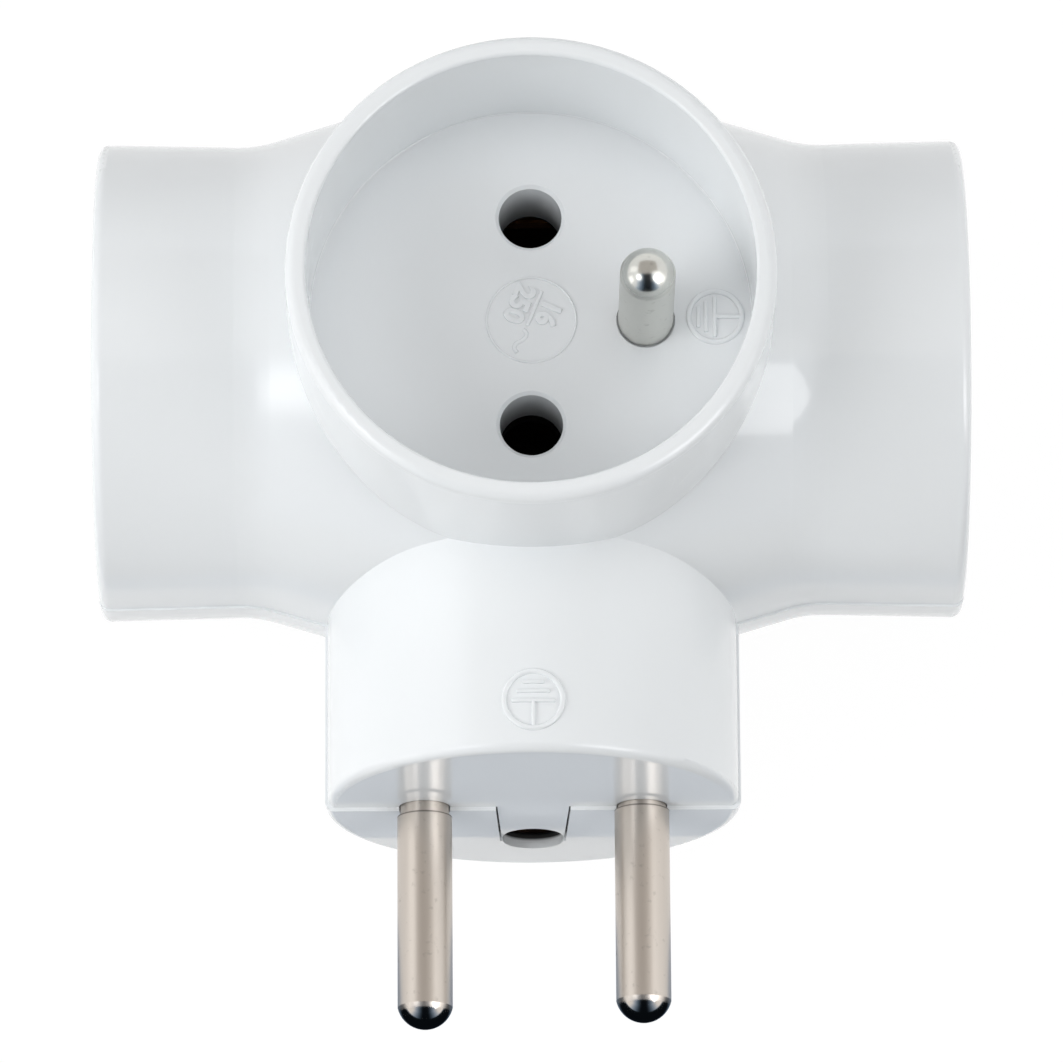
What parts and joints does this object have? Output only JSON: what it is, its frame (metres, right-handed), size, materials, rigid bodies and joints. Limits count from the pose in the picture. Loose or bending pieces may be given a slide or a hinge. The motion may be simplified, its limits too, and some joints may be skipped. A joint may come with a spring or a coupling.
{
  "type": "multi socket adapter",
  "caption": "White plug-in adapter with round recessed sockets to the front and both sides and a round earthed plug below.",
  "frame": {"origin": "centre of the flat pad on the adapter's back, under the crossing of its socket axes", "axes": "+Z along the front socket, away from the wall; the plug pins point to -Y; the side sockets face -X and +X"},
  "size_m": [0.0762, 0.0861, 0.0545],
  "materials": {
    "case_plastic": "glossy cool white",
    "face_plastic": "glossy cool white, slightly darker",
    "pin_nickel": "satin nickel plate over brass, polished ends",
    "bar_brass": "stamped brass sheet",
    "contact_bronze": "sprung bronze sheet",
    "strip_tinned": "tinned brass sheet",
    "carrier_plastic": "matt off-white insulator",
    "screw_steel": "zinc-plated steel"
  },
  "bodies": {
    "root": {"front_shell": "case_plastic", "rear_shell": "case_plastic", "front_socket_face": "face_plastic", "left_socket_face": "face_plastic", "right_socket_face": "face_plastic", "front_earth_pin": "pin_nickel", "left_earth_pin": "pin_nickel", "right_earth_pin": "pin_nickel", "left_plug_pin": "pin_nickel", "right_plug_pin": "pin_nickel", "line_busbar": "bar_brass", "neutral_busbar": "bar_brass", "line_contact_front": "contact_bronze", "line_contact_left": "contact_bronze", "line_contact_right": "contact_bronze", "neutral_contact_front": "contact_bronze", "neutral_contact_left": "contact_bronze", "neutral_contact_right": "contact_bronze", "earth_strip": "strip_tinned", "plug_earth_contact": "contact_bronze", "contact_carrier": "carrier_plastic", "upper_screw": "screw_steel", "lower_screw": "screw_steel"}
  },
  "joints": []
}
